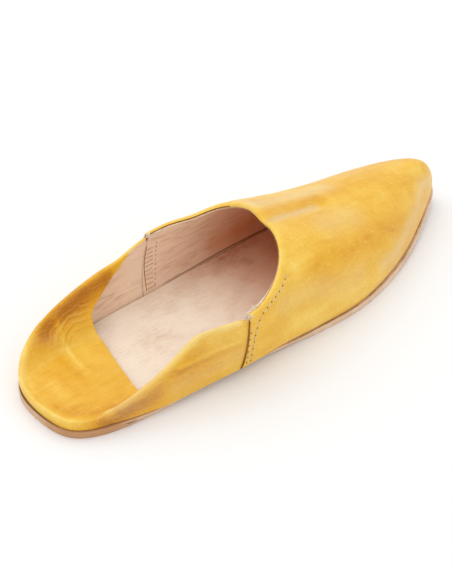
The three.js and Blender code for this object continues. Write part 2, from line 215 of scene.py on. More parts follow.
def yellow_leather():
    """Hand-dyed yellow: clouds, mottle and strokes of deeper and paler dye, painted shade, highlights
    and sheen, grain and soft gloss.
    """
    dyed = Recipe("yellow_leather")
    cloud = dyed.noise(34, 2)
    mottle = dyed.noise(7, 5)
    strokes = dyed.noise(5, 4, (6, 1, 1), (0, 0, 12), 0.6)
    swirls = dyed.noise(3.2, 3, (1, 4, 2), (0, 0, -25), 1.5)
    pores = dyed.noise(0.9, 2)
    # The painted dye strokes also carry painted shade and highlights.
    depth = (0.47 + cloud.swing(0.55) + mottle.swing(0.4) + strokes.swing(0.5)
             + swirls.swing(0.25) + pores.swing(0.4) + dyed.painted("dye"))
    color = dyed.ramp(depth * (1 / DEEPEST_DYE), [
        (0.0, (0.92, 0.64, 0.13)),
        (0.19, (0.87, 0.53, 0.055)),
        (0.34, (0.81, 0.445, 0.027)),
        (0.5, (0.77, 0.385, 0.014)),
        (0.64, (0.67, 0.295, 0.010)),
        (1.0, (0.42, 0.135, 0.007)),
    ])
    # Painted sheen: whitish reflections and rim highlights mixed into the colour
    bloom = dyed.painted("bloom")
    color = dyed.mix(bloom * (0.75 + mottle.swing(0.8)), color, PAINTED_SHEEN_COLOR)
    brush = dyed.noise(0.9, 3, (16, 1, 1), (0, 0, 20), 1.2)
    color = dyed.mix(dyed.span(brush, 0.52, 0.72) * 0.3, color, BRUSHED_DYE)
    # Grime and painted shade at the side seams' step; painted shade along the vamp's foot
    color = dyed.mix(dyed.painted("grime"), color, GRIME_AND_SHADE_BROWN)
    rings = dyed.distance(WRINKLE_CENTRE) * (2 * math.pi / WRINKLE_PITCH) + mottle.swing(11)
    waves = dyed.add("ShaderNodeMath", {"operation": "SINE"}, {0: rings})
    wrinkle = waves * dyed.painted("wrinkle")
    # Painted highlight: paler on the wrinkles' crests, over their bumps
    color = dyed.mix(dyed.span(wrinkle, 0.1, 0.9) * 0.35, color, WRINKLE_CREST_HIGHLIGHT)
    grain = dyed.cell_walls(1.3)
    height = (dyed.span(grain, 0.0, 0.25) * 0.03 + pores * 0.06 + mottle * 0.08
              + strokes * 0.06 + brush * 0.05 + wrinkle * 0.16)
    roughness = 0.40 + mottle.swing(0.25) + strokes.swing(0.15)
    coat = 0.15 + bloom * 0.25 + cloud.swing(0.2) - dyed.painted("dye") * 0.25
    return dyed.finish(color, roughness, height, coat, coat_roughness=0.28, specular=0.3)


def lining_leather():
    """Undyed leather lining: long streaks, darker and redder towards the toe from wear and painted
    shade, with grime and painted shade at the seams.
    """
    bare = Recipe("lining_leather")
    cloud = bare.noise(22, 3)
    streaks = bare.noise(2.2, 5, (9, 1.2, 1), (0, -6, 4), 1.2)
    fibres = bare.noise(0.7, 3, (6, 1, 1), (0, 10, 10))
    tone = 0.46 + cloud.swing(0.6) + streaks.swing(1.4) + fibres.swing(0.4)
    color = bare.ramp(tone, [
        (0.1, (0.95, 0.75, 0.58)),
        (0.5, (0.90, 0.66, 0.49)),
        (0.9, (0.66, 0.43, 0.29)),
    ])
    # Wear and painted shade: darker and redder towards the toe
    color = bare.mix(bare.painted("toe_wear") * (0.9 + cloud.swing(0.5)), color, LINING_WEAR_AND_SHADE_RED)
    # Grime and painted shade from the upper's marks at the seams and foot
    color = bare.mix(bare.painted("grime"), color, LINING_GRIME_AND_SHADE)
    height = streaks * 0.14 + fibres * 0.05 + bare.noise(0.4, 2) * 0.03
    return bare.finish(color, 0.72 + fibres.swing(0.2), height)


def insole_leather():
    """Pale undyed leather with a nap, stained towards the toe, and darker and redder there from wear
    and painted shade.
    """
    bare = Recipe("insole_leather")
    cloud = bare.noise(26, 3)
    blots = bare.noise(8, 4, (1.6, 1, 1), (0, 0, 20), 0.5)
    nap = bare.noise(0.8, 4, (5, 1, 1), (0, 0, 35), 0.8)
    tone = 0.46 + cloud.swing(0.7) + blots.swing(0.6) + nap.swing(0.6)
    color = bare.ramp(tone, [
        (0.15, (0.92, 0.81, 0.67)),
        (0.5, (0.87, 0.73, 0.585)),
        (0.9, (0.68, 0.50, 0.36)),
    ])
    # Wear and painted shade: darker and redder towards the toe
    color = bare.mix(bare.painted("toe_wear") * (0.95 + blots.swing(0.7)), color, INSOLE_WEAR_AND_SHADE_RED)
    smear = bare.noise(3.5, 5, (2.5, 1, 1), (0, 0, -30), 1.0)
    stain = bare.painted("stain") * (0.9 + nap.swing(1.2) + smear.swing(1.8))
    color = bare.mix(stain, color, STAINED_INSOLE)
    freckles = bare.span(bare.noise(1.4, 2), 0.68, 0.76) * 0.35
    color = bare.mix(freckles, color, INSOLE_FRECKLE)
    height = nap * 0.10 + blots * 0.05 + bare.noise(0.4, 2) * 0.03
    return bare.finish(color, 0.78 + nap.swing(0.2), height)


def sole_leather():
    """Vegetable-tanned sole: layered fibres on the cut edge, a scuffed underside."""
    tanned = Recipe("sole_leather")
    layers = tanned.noise(0.55, 4, (22, 22, 1), (0, 0, 0), 0.4)
    blots = tanned.noise(6, 4)
    scuffs = tanned.noise(1.1, 4, (12, 1, 1), (0, 0, 25), 0.6)
    tone = 0.5 + layers.swing(0.7) + blots.swing(0.7) + scuffs.swing(0.25)
    color = tanned.ramp(tone, [
        (0.15, (0.86, 0.67, 0.49)),
        (0.5, (0.77, 0.54, 0.36)),
        (0.9, (0.55, 0.33, 0.19)),
    ])
    color = tanned.mix(tanned.painted("tan"), color, DARK_TAN)
    height = layers * 0.10 + scuffs * 0.06 + blots * 0.05
    return tanned.finish(color, 0.62 + blots.swing(0.25), height)


def cut_edge_leather():
    """The raw edge of the yellow leather, soaked dark by the dye."""
    raw = Recipe("cut_edge_leather")
    fibres = raw.noise(0.8, 4, (1, 1, 3))
    color = raw.ramp(fibres, [(0.3, (0.42, 0.17, 0.010)), (0.7, (0.24, 0.085, 0.006))])
    return raw.finish(color, 0.8 + fibres.swing(0.2), fibres * 0.1, specular=0.15)


def thread(name, clean, soiled, roughness):
    """Waxed thread, its ply showing as fine slanting ribs."""
    waxed = Recipe(name)
    soil = waxed.noise(2.0, 3)
    ply = waxed.noise(0.22, 1, (1, 1, 1), (30, 20, 40))
    color = waxed.ramp(soil, [(0.3, clean), (0.7, soiled)])
    return waxed.finish(color, roughness + soil.swing(0.2), ply * 0.08)


def linen_thread():
    """Cream thread beside the seams."""
    return thread("linen_thread", (0.84, 0.63, 0.38), (0.66, 0.44, 0.22), 0.6)


def tan_thread():
    """Thread inside, browned by wear."""
    return thread("tan_thread", (0.66, 0.47, 0.32), (0.42, 0.27, 0.17), 0.7)


def painted_recess_shade():
    """Painted shade for stretched needle holes and open joints: dark, a little brown at the lip."""
    dark = Recipe("painted_recess_shade")
    speck = dark.noise(0.6, 2)
    color = dark.ramp(speck, [(0.3, (0.11, 0.05, 0.012)), (0.7, (0.22, 0.11, 0.025))])
    return dark.finish(color, 0.85 + speck.swing(0.1), speck * 0.05)


def raw_fibre():
    """Loose undyed fibres."""
    fluff = Recipe("raw_fibre")
    tint = fluff.noise(1.5, 3)
    color = fluff.ramp(tint, [(0.3, (0.90, 0.79, 0.64)), (0.7, (0.72, 0.55, 0.39))])
    return fluff.finish(color, 0.85 + tint.swing(0.1), tint * 0.1)


def floor_paper():
    """White studio paper."""
    paper = Recipe("floor_paper")
    tooth = paper.noise(1.5, 3)
    color = paper.ramp(tooth, [(0.3, (0.90, 0.90, 0.90)), (0.7, (0.91, 0.91, 0.91))])
    return paper.finish(color, 0.9 + tooth.swing(0.05), tooth * 0.02)


def pick(*objects):
    """Selects these objects alone, the first one active."""
    bpy.ops.object.select_all(action="DESELECT")
    for item in objects:
        item.select_set(True)
    bpy.context.view_layer.objects.active = objects[0]


def edit(select):
    """Edit mode on the active object, in the given select mode, with nothing selected."""
    bpy.ops.object.mode_set(mode="EDIT")
    bpy.ops.mesh.select_mode(type=select)
    bpy.ops.mesh.select_all(action="DESELECT")


def leave_edit():
    bpy.ops.object.mode_set(mode="OBJECT")


def edit_faces(piece, direction, least):
    """Edit mode on the active piece, with the faces selected that look in a direction."""
    edit("FACE")
    leave_edit()
    for face in piece.data.polygons:
        face.select = face.normal.dot(Vector(direction)) > least
    bpy.ops.object.mode_set(mode="EDIT")


def leather_from_solid(node_name, piece_name):
    """A leather piece from a solid: welded, made quads, its cut edges marked to stay crisp."""
    piece = bpy.data.objects.new(piece_name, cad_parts[node_name].data.copy())
    piece.data.name = piece_name
    bpy.context.collection.objects.link(piece)
    piece.data.materials.clear()
    pick(piece)
    bpy.ops.mesh.customdata_custom_splitnormals_clear()
    edit("EDGE")
    bpy.ops.mesh.select_all(action="SELECT")
    bpy.ops.mesh.remove_doubles(threshold=WELD)
    bpy.ops.mesh.tris_convert_to_quads(face_threshold=QUAD_FLATNESS, shape_threshold=QUAD_SQUARENESS)
    bpy.ops.mesh.select_all(action="DESELECT")
    bpy.ops.mesh.edges_select_sharp(sharpness=CUT_EDGE_ANGLE)
    bpy.ops.transform.edge_crease(value=CUT_EDGE_CREASE)
    leave_edit()
    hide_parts(node_name)
    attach(piece, "root")
    return piece


def round_off(piece):
    pick(piece)
    rounding = piece.modifiers.new("rounding", "SUBSURF")
    rounding.levels = ROUNDING_LEVELS
    rounding.render_levels = ROUNDING_LEVELS
    bpy.ops.object.modifier_apply(modifier=rounding.name)
    bpy.ops.object.shade_smooth_by_angle(angle=SMOOTH_ANGLE)


def vertex_places(piece):
    flat = np.empty(len(piece.data.vertices) * 3)
    piece.data.vertices.foreach_get("co", flat)
    return flat.reshape(-1, 3) / MM


def vertex_normals(piece):
    flat = np.empty(len(piece.data.vertices) * 3)
    piece.data.vertex_normals.foreach_get("vector", flat)
    return flat.reshape(-1, 3)


def put_vertices(piece, places):
    piece.data.vertices.foreach_set("co", (places * MM).ravel())
    piece.data.update()


def paint(piece, name, values):
    layer = piece.data.attributes.new(name, "FLOAT", "POINT")
    layer.data.foreach_set("value", np.clip(values, -1, 1).astype(np.float32))


def distance_to(places, path):
    """Distance of each place from a line through the path's points, or from its only point."""
    points = np.array(path, float)
    best = np.linalg.norm(places - points[0], axis=1)
    for a, b in zip(points[:-1], points[1:]):
        along = b - a
        share = np.clip((places - a) @ along / (along @ along), 0, 1)
        best = np.minimum(best, np.linalg.norm(places - a - share[:, None] * along, axis=1))
    return best


def bell(values):
    """1 at zero, falling off smoothly on both sides."""
    return np.exp(-values ** 2)


def dabs(places, strokes):
    """Soft strokes added up: each has a strength, a radius and a path."""
    total = np.zeros(len(places))
    for strength, radius, path in strokes:
        total += strength * bell(distance_to(places, path) / radius)
    return total


def smooth_step(low, high, values):
    share = np.clip((values - low) / (high - low), 0, 1)
    return share * share * (3 - 2 * share)


def graded(values, table):
    """A number for each value, read off a table of two rows."""
    return [float(np.interp(value, *table)) for value in values]


# Which faces of the upper are lining: those that look at the foot, with one wall's leather behind them.
# A rule says how squarely they look at it, how deep the wall's probe starts, and how thick the wall is.
VAMP_LINING = {"facing": 0.3, "skin": 0.9, "wall": (0.9, 3.2)}
TOE_LINING = {"facing": 0.3, "skin": 0.9, "wall": (0.9, 8.0)}
QUARTER_LINING = {"facing": 0.2, "skin": 0.3, "wall": (1.6, 1.95)}
TOE_FROM = 60.0
SEAM_LAP = 4.0
# The folded-in back is level and has no lining, nor has anything behind this x.
FOLD_LEVEL = 0.75
LINING_FROM = -100.0
# The foot's middle line, from the insole's middle at steps along it
STATION_STEP = 5.0
STATION_REACH = 8.0
AXIS_HEIGHT = 15.0
# Raw edges: the vamp's step at the side seams, the front of the folded-in back, and the throat's rim
EDGE_FACING = 0.5
STEP_WIDTH = 0.6
FOLD_END_FROM, FOLD_END_TO = -95.0, -52.0
THROAT_FRONT = 8.0
# The rim of the throat's lining, as this many marks from seam to seam
RIM_FROM = SEAM_TOP[0] + 0.8
RIM_AT_LEAST = 26.0
RIM_MARKS = 90


def seam_x(z):
    return np.interp(z, [SEAM_FOOT[1], SEAM_TOP[1]], [SEAM_FOOT[0], SEAM_TOP[0]])


def foot_middle():
    """Stations along the insole, and its middle at each."""
    insole = vertex_places(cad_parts["insole"])
    stations = np.arange(insole[:, 0].min(), insole[:, 0].max(), STATION_STEP)
    near = [insole[np.abs(insole[:, 0] - x) < STATION_REACH] for x in stations]
    return stations, [(part[:, 1].min() + part[:, 1].max()) / 2 for part in near]


def wall_behind(upper, face, skin):
    """How thick the leather is behind a face, if it is thicker than skin."""
    hit, place, _, _ = upper.ray_cast(face.center - face.normal * skin * MM, -face.normal)
    return (place - face.center).length / MM if hit else math.inf


def is_raw_edge(centre, normal):
    at_seam = abs(centre.x - seam_x(centre.z)) < STEP_WIDTH and normal.x < -EDGE_FACING
    at_fold = FOLD_END_FROM < centre.x < FOLD_END_TO and normal.x > EDGE_FACING
    return at_seam or at_fold


def lining_rule(centre):
    if centre.x > TOE_FROM:
        return TOE_LINING
    return VAMP_LINING if centre.x > seam_x(centre.z) - SEAM_LAP else QUARTER_LINING


def mark_slots(upper):
    """Gives faces that look at the foot to the lining, apart from the folded-in back, and raw edges to
    the cut edge."""
    middle_line = foot_middle()
    faces = upper.data.polygons
    for face in faces:
        centre = face.center / MM
        if is_raw_edge(centre, face.normal):
            face.material_index = CUT_EDGE
            continue
        if centre.x < LINING_FROM or face.normal.z > FOLD_LEVEL:
            continue
        rule = lining_rule(centre)
        axis = Vector((centre.x, float(np.interp(centre.x, *middle_line)), AXIS_HEIGHT))
        if face.normal.dot((axis - centre).normalized()) < rule["facing"]:
            continue
        least, most = rule["wall"]
        if least < wall_behind(upper, face, rule["skin"]) < most:
            face.material_index = LINING
    lined = {key for face in faces if face.material_index == LINING for key in face.edge_keys}
    for face in faces:
        above_lining = face.normal.z > 0 and any(key in lined for key in face.edge_keys)
        at_throat = SEAM_TOP[0] < face.center.x / MM < THROAT_FRONT
        if face.material_index == YELLOW and above_lining and at_throat:
            face.material_index = CUT_EDGE


def rim_inside(upper):
    """Places along the upper edge of the lining, from the outer side's seam round the throat."""
    touching = [set() for _ in upper.data.vertices]
    for face in upper.data.polygons:
        for vertex in face.vertices:
            touching[vertex].add(face.material_index)
    on_edge = [LINING in slots and len(slots) > 1 for slots in touching]
    edge = vertex_places(upper)[np.array(on_edge)]
    edge = edge[(edge[:, 0] > RIM_FROM) & (edge[:, 2] > RIM_AT_LEAST)]
    around = np.arctan2(edge[:, 1], edge[:, 0] - SEAM_TOP[0])
    order = np.argsort(around)
    marks = np.linspace(around.min(), around.max(), RIM_MARKS)
    return np.stack([np.interp(marks, around[order], edge[order, i]) for i in range(3)], axis=1)


# The top of the quarter's rim, which catches the light, and the hollow inside it
OUTER_RIM = [(-110.9, -25.4, 9.3), (-102.6, -27.8, 12.3), (-91.9, -28.4, 15.7), (-81.7, -29.3, 21),
             (-71.6, -29.5, 26.9), (-66, -30, 29.6), (-62, -30.7, 30.5), (-57.5, -32.3, 30.8),
             (-48, -35, 31)]
HEEL_RIM = [(-110.9, -25.4, 9.3), (-121, -21, 8.4), (-126.7, -15.1, 8.3), (-128.5, -1.6, 8.3),
            (-125.8, 13.6, 8.6), (-117.9, 23.2, 13.6)]
INNER_RIM = [(-117.9, 23.6, 13.6), (-108.7, 27.4, 19.3), (-94.7, 29.5, 24.7), (-79.9, 31.5, 27.8),
             (-63.9, 32.6, 30.2), (-53.8, 33, 32.6), (-43.2, 32.8, 37.8)]
UNDER_RIM = [(x, y - 1.5, z - 5.5) for x, y, z in OUTER_RIM[:6]]
RIM_SHADE = [(-123, -8, 7.4), (-121, -14.5, 7.4), (-113, -20.5, 7.6), (-104, -22.5, 8.3),
             (-95, -23.8, 9.8)]

# Creases: height of the ridge, or of a trough if negative, its half width, and its path.
FOLD_CREASE = [(-98.0, 26.7, 20.5), (-97.7, 23.9, 13.2), (-97.8, 18.9, 7.4), (-99.6, 10.1, 7.3),
               (-100.3, 1, 7.3)]
SCRATCH = [(-77.2, -31.7, 19.3), (-67.5, -33.2, 20.1), (-57.8, -34.9, 21.6), (-48.1, -36.8, 21.6)]
SOFT_FOLD = [(-67.5, -30.9, 27.4), (-71.3, -31.1, 24.6), (-76.3, -31.4, 20.5)]
INSTEP_TROUGH = [(1.5, 0, 44.0), (14, 1.2, 41), (28, 1.8, 38.5), (41, 1.2, 36.5)]
INSTEP_RIDGE = [(4, 7.5, 43.5), (18, 7, 41), (38, 7, 37.5)]
CREASES = [
    (0.55, 1.3, FOLD_CREASE),
    (0.55, 1.7, OUTER_RIM),
    (-0.35, 1.9, [(x, y - 1.2, z - 3.8) for x, y, z in OUTER_RIM]),
    (0.35, 2.4, HEEL_RIM),
    (-0.35, 2.6, RIM_SHADE),
    (-0.30, 2.2, [(x - 3.2, y + 0.6, z) for x, y, z in FOLD_CREASE]),
    (-0.35, 2.4, [(-104, 24.3, 14.6), (-98.8, 25.7, 17.7), (-92.2, 26.2, 18.9), (-84.5, 26.4, 19.3)]),
    (0.30, 1.8, [(-95.5, 24.2, 14.0), (-92.5, 25.6, 17.3), (-86.4, 25.4, 16.6)]),
    (0.22, 1.4, SCRATCH),
    (-0.30, 2.6, [(x, y, z - 2.6) for x, y, z in SCRATCH]),
    (0.45, 3.0, SOFT_FOLD),
    (-0.5, 5.0, [(x + 6, y, z + 0.5) for x, y, z in SOFT_FOLD]),
    (-1.25, 2.1, INSTEP_TROUGH),
    (0.7, 4.5, INSTEP_RIDGE),
    (0.4, 5.0, [(x, y - 14, z) for x, y, z in INSTEP_RIDGE]),
    (0.4, 7.0, [(12, -28, 33), (35, -27, 27), (60, -20, 25)]),
    (-0.4, 7.0, [(8, -34, 24), (30, -32, 20), (50, -28, 18)]),
    (-0.5, 8.0, [(40, 16, 35), (60, 14, 33)]),
    (0.4, 6.0, [(-112, 8, 7.3), (-108, -8, 7.3)]),
    (-0.3, 5.0, [(-118, -4, 7.3), (-113, -18, 7.3)]),
]

# Dye and painted light: strength (paler if negative), radius and path of each stroke. Strokes of
# painted shade and highlights are marked.
DYE_AND_PAINTED_LIGHT = [
    # Darker amber on the fold's far wall: dye and painted shade
    (0.95, 6.0, [(-104, 25.8, 18), (-98, 27.8, 21), (-83, 29, 25), (-68, 29, 26)]),
    (0.22, 4.5, [(-106, 25.2, 16)]),
    (0.28, 3.0, [(-113, 12, 7.3), (-111, 4, 7.3), (-112, -6, 7.3)]),
    # Painted shade in the hollow inside the heel rim
    (0.35, 2.8, RIM_SHADE),
    (0.25, 2.0, [(-118, -12, 7.4), (-108, -17, 7.4), (-98, -18, 7.4)]),
    # Painted highlight along the fold's crease ridge
    (-0.35, 1.2, FOLD_CREASE),
    (0.25, 2.2, [(-104, 16, 7.4), (-104, 4, 7.3), (-106, -4, 7.3)]),
    (-0.30, 1.0, SCRATCH),
    # Painted shade in the trough below the scratch
    (0.20, 1.6, [(x, y, z - 2.4) for x, y, z in SCRATCH]),
    (0.15, 4.0, [(-118, 10, 7.3)]),
    (-0.12, 7.0, [(-92, 8.4, 7.3), (-90, 21, 9)]),
    # Painted shade: darker on the near quarter towards the heel and along its foot
    (0.44, 6.5, [(-116, -26, 6), (-103, -29.3, 10), (-92, -30.6, 11)]),
    (0.20, 7.0, [(-94, -30.6, 11), (-80, -32, 13), (-66, -34, 15)]),
    # Painted shade under the near rim's roll
    (0.30, 3.8, UNDER_RIM),
    # Painted shade: darker low on the quarter's back
    (0.30, 4.5, [(-114, -26.6, 7), (-106, -28.5, 9)]),
    (-0.12, 6.0, [(-57, -34.5, 25), (-46, -36.7, 25)]),
    # Painted shade in the hollow inside the heel rim, at its back
    (0.22, 3.5, [(-122, 4, 7.3), (-123, -4, 7.3)]),
    (0.30, 5.0, [(-92, 25.4, 17.5), (-84, 26, 19)]),
    (0.18, 6.0, [(-68, -33.7, 17), (-52, -36.2, 20)]),
    (0.32, 6.0, [(4, -28, 33), (18, -25.5, 32), (36, -26, 28), (56, -20.5, 26), (75, -17, 22)]),
    (0.34, 3.0, [(4, 5, 43.5), (15, 5.6, 41.5), (28, 5.6, 39), (40, 6, 37)]),
    (0.15, 4.0, [(40, 6, 37), (58, 6, 35)]),
    (0.18, 5.0, [(84, -2, 30), (100, 2, 29)]),
    (-0.27, 6.0, [(46, -33, 12), (21, -37, 13), (1, -37.5, 12), (-18, -37.5, 14)]),
    (-0.15, 6.0, [(118, 0, 18), (105, -6, 20)]),
    # Painted highlight along the near throat rim
    (-0.25, 4.0, [(-8, -27, 37), (4, -25, 36)]),
    (-0.20, 6.0, [(100, 6, 29), (112, 6, 26)]),
    (0.14, 12.0, [(-104, 4, 7.3), (-98, -8, 7.3)]),
    # Painted highlights: paler along the rims' rolls
    (-0.33, 2.6, HEEL_RIM),
    (-0.50, 2.0, OUTER_RIM),
    (-0.30, 1.6, INNER_RIM),
]

# Painted sheen: whitish reflections and rim highlights painted into the colour; it also raises the coat
PAINTED_SHEEN = [
    (0.42, 5.0, [(5, 14, 43.5), (11, 13, 42.5), (26, 13, 40), (41, 13, 37), (52, 13, 35.5)]),
    (0.70, 1.9, [(3, -0.5, 43.6), (14, 0.5, 41), (26, 0.8, 38.7), (34, 0.5, 37.3)]),
    (0.26, 7.5, [(27, -12, 37.3), (46, -11, 33.5)]),
    (0.22, 6.5, [(31, -33.5, 19), (15, -35.4, 20), (-8, -34.6, 27), (-20, -35.6, 27)]),
    (0.40, 3.6, [(121, 2, 17.7), (109, -2.5, 21), (97, -11, 17), (83, -18, 15.6), (63, -27.6, 13),
                 (50, -31.4, 14)]),
    (0.15, 3.0, [(-111, 24.3, 15.3), (-102, 23.5, 12.4)]),
    (0.20, 5.0, [(-80, -33, 11), (-62, -35, 13), (-48, -37, 14)]),
    (0.16, 6.0, [(-104, -29.5, 9.5), (-90, -31, 12.5)]),
    (0.14, 7.0, [(-64, -32.4, 25), (-52, -36, 25)]),
    # Painted highlights along the rims
    (0.08, 2.5, HEEL_RIM),
    (0.25, 1.6, OUTER_RIM),
]

# Rubbed, greasy insole towards the toe
STAINS = [
    (0.55, 4.0, [(-2, 31, 5.5), (6, 31, 5.5), (14.5, 31.5, 5.4), (24, 31, 5.4)]),
    (0.55, 3.2, [(1, 27, 5.5), (7, 24, 5.5), (11, 20, 5.4)]),
    (0.30, 2.5, [(-9, 21, 5.6), (-5, 24, 5.6)]),
    (0.25, 6.0, [(30, 18, 5.5), (42, 10, 5.6)]),
    (0.22, 6.0, [(-24, -22, 5.8), (-10, -10, 5.7)]),
    (0.22, 5.0, [(-28, 24, 6.0), (-8, 30, 5.7)]),
    (0.20, 3.0, [(-60, 2, 6.0), (-50, -6, 6.0), (-38, -10, 6.0)]),
    (0.18, 4.0, [(-86, 10, 6.0), (-74, 22, 6.0)]),
    (0.20, 3.0, [(-20, -2, 5.7), (-8, 6, 5.6), (0, 10, 5.5)]),
]
# Wrinkles where the fold turns up into the quarter
WRINKLES = [(1.0, 6.5, [(-98, 24.5, 14), (-93, 25, 16), (-86, 25, 16)])]
# Painted highlight along the throat's rim: paler there.
RIM_ROLL = 2.4
RIM_HIGHLIGHT = 0.35
# Wear and painted shade inside grow towards the toe, between these places along it.
LINING_WEAR = [(0.40, 5.5, [(1, 35.1, 11.5), (12, 35.5, 11.5), (24, 35, 12)])]
LINING_WEAR_AND_SHADE_SPAN = (-25.0, 55.0)
INSOLE_WEAR_AND_SHADE_SPAN = (-45.0, 75.0)
# Grime and painted shade in the step at the side seams, and painted shade along the vamp's foot,
# whose height is given at some places
SEAM_GRIME_AND_SHADE, SEAM_GRIME_AND_SHADE_WIDTH, SEAM_GRIME_AND_SHADE_END = 0.4, 0.5, 0.2
FOOT_SHADE, FOOT_SHADE_WIDTH = 0.2, 0.7
FOOT_SHADE_GROWS = (-50, -10)
FOOT_HEIGHT = ([40, 65, 100, 125], [3.95, 4.6, 6.5, 8.7])


def make_upper(cut_edge):
    upper = leather_from_solid("upper", "upper_leather")
    for material in (yellow_leather(), lining_leather(), cut_edge):
        upper.data.materials.append(material)
    mark_slots(upper)
    round_off(upper)
    crease_and_paint(upper)
    return upper


def crease_and_paint(upper):
    places = vertex_places(upper)
    outer = np.zeros(len(places), bool)
    for face in upper.data.polygons:
        if face.material_index == YELLOW:
            outer[list(face.vertices)] = True
    for face in upper.data.polygons:
        if face.material_index != YELLOW:
            outer[list(face.vertices)] = False
    moves = np.where(outer, dabs(places, CREASES), 0)
    put_vertices(upper, places + vertex_normals(upper) * moves[:, None])
    # Painted highlight: the dye is paler along the throat's rim
    rim_highlight = bell(distance_to(places, rim_inside(upper)) / RIM_ROLL)
    paint(upper, "dye", dabs(places, DYE_AND_PAINTED_LIGHT) - RIM_HIGHLIGHT * rim_highlight)
    paint(upper, "bloom", dabs(places, PAINTED_SHEEN))
    paint(upper, "wrinkle", dabs(places, WRINKLES))
    x, z = places[:, 0], places[:, 2]
    # Wear and painted shade inside: darker and redder towards the toe
    paint(upper, "toe_wear", smooth_step(*LINING_WEAR_AND_SHADE_SPAN, x) + dabs(places, LINING_WEAR))
    # Grime and painted shade in the step at the side seams; painted shade along the vamp's foot
    past_seam = x - seam_x(z)
    at_seam = SEAM_GRIME_AND_SHADE * bell(past_seam / SEAM_GRIME_AND_SHADE_WIDTH) * (past_seam < SEAM_GRIME_AND_SHADE_END)
    over_foot = z - np.interp(x, *FOOT_HEIGHT)
    foot_shade = FOOT_SHADE * bell(over_foot / FOOT_SHADE_WIDTH) * smooth_step(*FOOT_SHADE_GROWS, x)
    paint(upper, "grime", np.maximum(at_seam, foot_shade))


def make_insole():
    insole = leather_from_solid("insole", "insole_leather")
    insole.data.materials.append(insole_leather())
    round_off(insole)
    places = vertex_places(insole)
    # Wear and painted shade: darker and redder towards the toe
    paint(insole, "toe_wear", smooth_step(*INSOLE_WEAR_AND_SHADE_SPAN, places[:, 0]))
    paint(insole, "stain", dabs(places, STAINS))


# Towards the toe the sole's edge stands out further. At the heel it is tanned darker.
TOE_LIP = 1.2
TOE_LIP_GROWS = (20, 90)
SOLE_TAN = [(0.75, 16.0, [(-122, -19, 2), (-112, -26, 2)]), (0.25, 20.0, [(-129, 8, 2)])]


def make_outsole():
    outsole = leather_from_solid("outsole", "outsole_leather")
    outsole.data.materials.append(sole_leather())
    round_off(outsole)
    places = vertex_places(outsole)
    outward = vertex_normals(outsole) * (1, 1, 0)
    lip = TOE_LIP * smooth_step(*TOE_LIP_GROWS, places[:, :1])
    put_vertices(outsole, places + outward * lip)
    paint(outsole, "tan", dabs(places, SOLE_TAN))


# Stitches and the needle holes between them
STITCH_LENGTH = 2.1
STITCH_WIDTH = 0.6
STITCH_SIDES = 8
STITCH_STRAIGHT = 0.6
# Each end turns down in two steps: reach as a share of the length, drop, and size.
STITCH_ENDS = ((0.12, -0.12, 0.85), (0.08, -0.32, 0.6))
STITCH_PITCH = 3.45
STITCH_RISE = 0.12
HOLE_WIDTH = 0.75
HOLE_DEPTH = 0.3
HOLE_LIP = 0.12
HOLE_DISH = 0.1
HOLE_SINK = 0.05
END_FACING = 0.8
# The two rows beside a side seam, as x and z on the outer side
RIM_ROW = [(-13.8, 37.7), (-19.5, 34.8), (-25.4, 33.2), (-30, 32.2), (-33.5, 31.0), (-36.2, 29.2),
           (-38.2, 26.9), (-39.4, 24.6), (-40.3, 21.7), (-40.9, 18.5), (-41.4, 15.3), (-41.8, 8.5)]
SEAM_ROW = [(-41.7, 27.5), (-42.6, 24.8), (-43.4, 21.6), (-43.8, 18.7), (-44.0, 16.0), (-44.0, 8.5)]
OUTSIDE = 60.0
RIM_REACH = 1.2
RIM_OFF_MIDDLE = 8
OUTER_SIDE, INNER_SIDE = -1, 1


def make_stitch():
    """One stitch lying along X, its two ends turned down into the leather."""
    bpy.ops.object.select_all(action="DESELECT")
    bpy.ops.mesh.primitive_cylinder_add(
        vertices=STITCH_SIDES,
        radius=STITCH_WIDTH / 2 * MM,
        depth=STITCH_LENGTH * STITCH_STRAIGHT * MM,
        rotation=(0, math.radians(90), 0),
    )
    stitch = bpy.context.object
    bpy.ops.object.transform_apply(location=False, rotation=True, scale=False)
    for way in (-1, 1):
        for reach, drop, size in STITCH_ENDS:
            edit_faces(stitch, (way, 0, 0), END_FACING)
            move = (way * reach * STITCH_LENGTH * MM, 0, drop * MM)
            bpy.ops.mesh.extrude_region_move(TRANSFORM_OT_translate={"value": move})
            bpy.ops.transform.resize(value=(1, size, size))
            leave_edit()
    bpy.ops.object.shade_smooth()
    return stitch


def make_hole():
    """One stretched needle hole: a low pad dished in its middle, which carries the hole's painted
    shade.
    """
    bpy.ops.object.select_all(action="DESELECT")
    bpy.ops.mesh.primitive_cylinder_add(
        vertices=STITCH_SIDES, radius=HOLE_WIDTH / 2 * MM, depth=HOLE_DEPTH * MM
    )
    hole = bpy.context.object
    edit_faces(hole, (0, 0, 1), END_FACING)
    bpy.ops.mesh.inset(thickness=HOLE_LIP * MM)
    bpy.ops.transform.translate(value=(0, 0, -HOLE_DISH * MM))
    leave_edit()
    return hole


def finish_small(piece, material):
    """The material, slot and body of a small piece on the upper."""
    piece.data.materials.append(material)
    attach(piece, "root")


def place_copies(base, placements, name, material):
    """Copies of one small shape, each at its own place, joined into one piece."""
    copies = []
    for placement in placements:
        copy = base.copy()
        copy.data = base.data.copy()
        copy.matrix_world = placement
        bpy.context.collection.objects.link(copy)
        copies.append(copy)
    bpy.data.objects.remove(base)
    bpy.context.view_layer.update()
    pick(*copies)
    bpy.ops.object.join()
    piece = bpy.context.object
    piece.name = name
    piece.data.name = name
    bpy.ops.object.transform_apply(location=True, rotation=True, scale=True)
    finish_small(piece, material)


